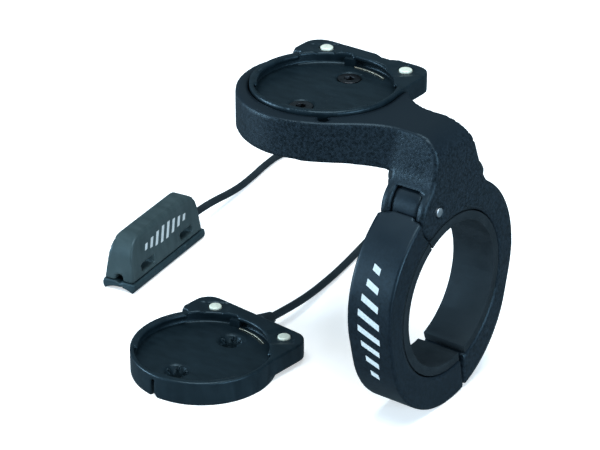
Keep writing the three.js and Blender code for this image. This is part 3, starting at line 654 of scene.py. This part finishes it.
def jaw_surface(along):
    """The jaw's outer side in the (Y, Z) plane, from the middle of the handlebar: a point and the
    outward direction, at a length measured downwards from the end of its upper arc."""
    crown_height, crown_radius, belly_height, belly_radius = 1.8, 23.0, -4.1, 21.6
    slope = math.asin((crown_radius - belly_radius) / (crown_height - belly_height))
    straight = math.sqrt((crown_height - belly_height) ** 2 - (crown_radius - belly_radius) ** 2)
    if along < 0:
        angle = math.pi + slope + along / crown_radius
        outward = Vector((0, math.cos(angle), math.sin(angle)))
        return Vector((0, 0, crown_height)) + outward * crown_radius, outward
    angle = math.pi + slope + max(0, along - straight) / belly_radius
    outward = Vector((0, math.cos(angle), math.sin(angle)))
    if along > straight:
        return Vector((0, 0, belly_height)) + outward * belly_radius, outward
    start = Vector((0, 0, crown_height)) + outward * crown_radius
    return start + Vector((0, -outward.z, outward.y)) * along, outward


PRINT_DEPTH, PRINT_HEIGHT = 0.1, 0.05    # of the marks, below and above the surface


def add_jaw_mark():
    """A row of slanted bars across the jaw, longest in the middle."""
    centre, pitch, width, slant = -4.4, 3.6, 1.4, 1.1
    longest = 2.6
    half_lengths = [0.9, 1.5, 2.1, longest, longest, 2.1, 1.5, 0.9]
    for k, half_length in enumerate(half_lengths):
        middle = centre + (k - (len(half_lengths) - 1) / 2) * pitch
        grids = []
        for lift in (-PRINT_DEPTH, PRINT_HEIGHT):
            grid = []
            for across in (-1, -0.5, 0, 0.5, 1):
                row = []
                for step in (-1, -0.5, 0, 0.5, 1):
                    along = middle + step * width / 2 + across * half_length / longest * slant
                    point, outward = jaw_surface(along)
                    point = point + outward * lift + Vector((across * half_length, 0, 0))
                    row.append(BAR + point * MM)
                grid.append(row)
            grids.append(grid)
        slab(f"jaw_mark_{k + 1}", *grids, INK, None, "jaw")


def add_sensor_mark():
    """The same bars, smaller, along the sensor's side."""
    place = Matrix.Translation(from_bar(SENSOR["x"], SENSOR["y"], 0))
    place = place @ Matrix.Rotation(math.radians(SENSOR["turn"]), 4, "Z")
    height, pitch, width, slant = 8.7, 2.4, 1.0, 0.7
    longest = 1.8
    half_heights = [0.7, 1.1, 1.5, longest, longest, 1.5, 1.1, 0.7]
    (foot, foot_height), (shoulder, shoulder_height) = (3.75, 2.6), (2.6, 12.1)    # half widths
    lean = (foot - shoulder) / (shoulder_height - foot_height)
    for k, half_height in enumerate(half_heights):
        middle = (k - (len(half_heights) - 1) / 2) * pitch
        grids = []
        for lift in (-PRINT_DEPTH, PRINT_HEIGHT):
            grid = []
            for up in (-1, 0, 1):
                z = height + up * half_height
                x = foot - lean * (z - foot_height) + lift
                row = []
                for side in (-1, 0, 1):
                    y = middle + side * width / 2 + up * slant * half_height / longest
                    row.append(place @ (Vector((x, y, z)) * MM))
                grid.append(row)
            grids.append(grid)
        slab(f"sensor_mark_{k + 1}", *grids, INK, None, "wired_set")


# ---- the latch at the back of each pocket ----
def add_latch(prefix, body):
    """A spring wire in the pocket's slit, and the stop that it comes out of."""
    origin, turn = cradle_frame(prefix)
    wire_radius, wire_path = 0.13, 13.85
    stop_angles, stop_radii, stop_heights = range(99, 111, 2), (13.9, 15.2), (2.8, 4.5)

    def place(angle, radius, height):
        angle = math.radians(angle) + turn
        local = Vector((radius * math.cos(angle), radius * math.sin(angle), height))
        return (Vector(origin) + local) * MM

    curve = bpy.data.curves.new(f"{prefix}_latch_wire", "CURVE")
    curve.dimensions = "3D"
    curve.bevel_depth = 1
    curve.bevel_resolution = 3
    curve.use_fill_caps = True
    angles = range(63, 102, 3)
    spline = curve.splines.new("POLY")
    spline.points.add(len(angles) - 1)
    for point, angle in zip(spline.points, angles):
        point.co = (*place(angle, wire_path, POCKET_FLOOR), 1)
        point.radius = wire_radius * MM
    wire = bpy.data.objects.new(f"{prefix}_latch_wire", curve)
    bpy.context.scene.collection.objects.link(wire)
    painted(wire, WIRE_STEEL)
    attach(wire, body)
    grids = [[[place(angle, radius, height) for angle in stop_angles] for radius in stop_radii]
             for height in stop_heights]
    slab(f"{prefix}_latch_stop", *grids, CRADLE_PLASTIC, "moulded_plastic", body)


# ---- everything ----
def finish_kept_nodes():
    for prefix in ("cradle", "dock"):
        kept(f"{prefix}_contact_cover", CRADLE_PLASTIC, 0.08)
        for side in ("left", "right"):
            kept(f"{prefix}_contact_pin_{side}", CONTACT, 0.06, 25)
            spring = kept(f"{prefix}_contact_spring_{side}", SPRING_STEEL, 0.02, 60)
            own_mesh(spring)
            kept(f"{prefix}_contact_strip_{side}", BRASS, 0.04)
    for word in ("front", "back"):
        kept(f"cradle_screw_{word}", BLACK_STEEL, 0.08)
    for word in ("front", "rear"):
        kept(f"liner_{word}", LINER_RUBBER, 0.25)
    kept("hinge_pin", PIN_STEEL, 0.15)
    kept("clamp_insert", BRASS, 0.1)
    kept("clamp_washer", SPRING_STEEL, 0.08)
    kept("clamp_bolt", BLACK_STEEL, 0.1)
    kept("dock_gland", GLAND_RUBBER, 0.15)
    kept("sensor_gland", GLAND_RUBBER, 0.15)
    kept("coil_tie", GLAND_RUBBER, 0.15)
    kept("sensor_board", BOARD, 0.05)
    kept("reed_switch", GLASS, 0.05, 50)


cable = add_cable()
painted(cable, JACKET)
add_floor(floor_paper())
add_lights()
add_mouldings()
add_jaw_mark()
add_sensor_mark()
add_latch("cradle", "mount")
add_latch("dock", "wired_set")
finish_kept_nodes()

bpy.context.view_layer.update()
